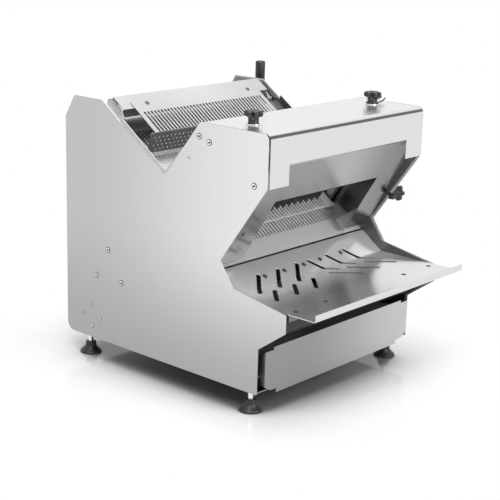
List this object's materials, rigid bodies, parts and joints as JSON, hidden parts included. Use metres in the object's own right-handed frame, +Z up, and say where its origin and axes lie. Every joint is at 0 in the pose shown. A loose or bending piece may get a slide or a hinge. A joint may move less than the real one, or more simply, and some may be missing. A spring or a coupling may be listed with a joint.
{
  "type": "bread slicer",
  "caption": "Table-top bread slicer with a loaf vee, sliding pusher, reciprocating blade frames, hooded outlet, slotted slice tray and crumb drawer, in brushed steel",
  "frame": {"origin": "centre of the bounding box on the table top, under the feet", "axes": "+Z up, +Y to the rear, the tray faces -Y, +X to the right seen from the front"},
  "size_m": [0.6636, 0.849, 0.75],
  "materials": {
    "brushed_steel": "vertically brushed stainless steel sheet",
    "satin_hood": "fine satin stainless steel sheet",
    "polished_sheet": "smooth stainless steel sheet",
    "blade_steel": "ground blade steel",
    "bright_fastener": "bright stainless screws and studs",
    "black_plastic": "black moulded plastic, satin",
    "foot_rubber": "black rubber",
    "black_paint": "black coated sheet",
    "motor_paint": "dark painted motor casing",
    "machined_metal": "machined light metal",
    "belt_rubber": "black belt",
    "green_button": "green moulded button",
    "red_button": "red moulded button",
    "dark_steel": "plain stainless steel plate"
  },
  "bodies": {
    "housing": {"base_pan": "brushed_steel", "bread_table": "polished_sheet", "cable_gland": "black_plastic", "chute_tray": "polished_sheet", "comb_blocks": "machined_metal", "crank_bearing_left": "machined_metal", "crank_bearing_right": "machined_metal", "drawer_runners": "brushed_steel", "drive_belt": "belt_rubber", "foot_studs": "bright_fastener", "guide_rails_left": "machined_metal", "guide_rails_right": "machined_metal", "hood_cover": "satin_hood", "hood_crossbar": "brushed_steel", "knob_washers": "bright_fastener", "left_inner_frame": "dark_steel", "left_side_plate": "brushed_steel", "motor": "motor_paint", "mouth_frame": "polished_sheet", "outlet_comb": "polished_sheet", "outlet_deflectors": "polished_sheet", "pusher_rail_left": "brushed_steel", "pusher_rail_right": "brushed_steel", "rear_panel": "brushed_steel", "right_inner_frame": "dark_steel", "right_side_plate": "brushed_steel", "side_screws_left": "bright_fastener", "side_screws_right": "bright_fastener", "slice_guide": "polished_sheet", "switch_box": "black_plastic", "tray_brackets": "brushed_steel", "tray_screws": "bright_fastener", "under_tray_panel": "black_paint"},
    "pusher": {"pusher_comb": "polished_sheet", "pusher_face": "polished_sheet", "pusher_channel": "polished_sheet", "pusher_shoe_left": "machined_metal", "pusher_shoe_right": "machined_metal", "handle_arm": "brushed_steel", "handle_grip": "black_plastic"},
    "front_frame": {"blade_frame_front": "dark_steel", "blades_front": "blade_steel", "connecting_rods_front": "machined_metal"},
    "rear_frame": {"blade_frame_rear": "dark_steel", "blades_rear": "blade_steel", "connecting_rods_rear": "machined_metal"},
    "crank": {"crankshaft": "machined_metal"},
    "motor_wheel": {"motor_pulley": "machined_metal"},
    "drawer": {"drawer_face": "brushed_steel", "drawer_tray": "brushed_steel"},
    "left_knob": {"top_knob_left": "black_plastic"},
    "right_knob": {"top_knob_right": "black_plastic"},
    "plate_knob": {"side_knob": "black_plastic"},
    "start": {"start_button": "green_button"},
    "stop": {"stop_button": "red_button"},
    "foot_right_front": {"foot_pad_right_front": "foot_rubber"},
    "foot_right_rear": {"foot_pad_right_rear": "foot_rubber"},
    "foot_left_front": {"foot_pad_left_front": "foot_rubber"},
    "foot_left_rear": {"foot_pad_left_rear": "foot_rubber"}
  },
  "joints": [
    {"name": "pusher_slide", "type": "slide", "parent": "housing", "child": "pusher", "axis": [0, -0.8192, -0.5736], "range_m": [0, 0.195]},
    {"name": "front_frame_slide", "type": "slide", "parent": "housing", "child": "front_frame", "axis": [0, -0.5736, 0.8192], "range_m": [-0.01, 0.01]},
    {"name": "rear_frame_slide", "type": "slide", "parent": "housing", "child": "rear_frame", "axis": [0, -0.5736, 0.8192], "range_m": [-0.01, 0.01]},
    {"name": "crank_turn", "type": "hinge", "parent": "housing", "child": "crank", "pos_m": [-0.0202, 0.2615, 0.262], "axis": [1, 0, 0], "continuous": true},
    {"name": "motor_pulley_turn", "type": "hinge", "parent": "housing", "child": "motor_wheel", "pos_m": [-0.0202, 0.3265, 0.121], "axis": [1, 0, 0], "continuous": true},
    {"name": "drawer_slide", "type": "slide", "parent": "housing", "child": "drawer", "axis": [0, -1, 0], "range_m": [0, 0.35]},
    {"name": "left_knob_turn", "type": "hinge", "parent": "housing", "child": "left_knob", "pos_m": [-0.2552, -0.1595, 0.7], "axis": [0, 0, 1], "continuous": true},
    {"name": "right_knob_turn", "type": "hinge", "parent": "housing", "child": "right_knob", "pos_m": [0.2148, -0.1595, 0.7], "axis": [0, 0, 1], "continuous": true},
    {"name": "side_knob_turn", "type": "hinge", "parent": "housing", "child": "plate_knob", "pos_m": [0.2898, -0.1805, 0.443], "axis": [1, 0, 0], "continuous": true},
    {"name": "start_press", "type": "slide", "parent": "housing", "child": "start", "axis": [-1, 0, 0], "range_m": [0, 0.003], "stiffness_N_per_m": 400, "springref_m": -0.004},
    {"name": "stop_press", "type": "slide", "parent": "housing", "child": "stop", "axis": [-1, 0, 0], "range_m": [0, 0.003], "stiffness_N_per_m": 400, "springref_m": -0.004},
    {"name": "foot_turn_right_front", "type": "hinge", "parent": "housing", "child": "foot_right_front", "pos_m": [0.2578, -0.2135, 0.01], "axis": [0, 0, 1], "continuous": true},
    {"name": "foot_turn_right_rear", "type": "hinge", "parent": "housing", "child": "foot_right_rear", "pos_m": [0.2578, 0.3675, 0.01], "axis": [0, 0, 1], "continuous": true},
    {"name": "foot_turn_left_front", "type": "hinge", "parent": "housing", "child": "foot_left_front", "pos_m": [-0.2982, -0.2135, 0.01], "axis": [0, 0, 1], "continuous": true},
    {"name": "foot_turn_left_rear", "type": "hinge", "parent": "housing", "child": "foot_left_rear", "pos_m": [-0.2982, 0.3675, 0.01], "axis": [0, 0, 1], "continuous": true}
  ],
  "couplings": [
    {"joint": "rear_frame_slide", "follows": "front_frame_slide", "ratio": -1},
    {"joint": "motor_pulley_turn", "follows": "crank_turn", "ratio": 2}
  ]
}
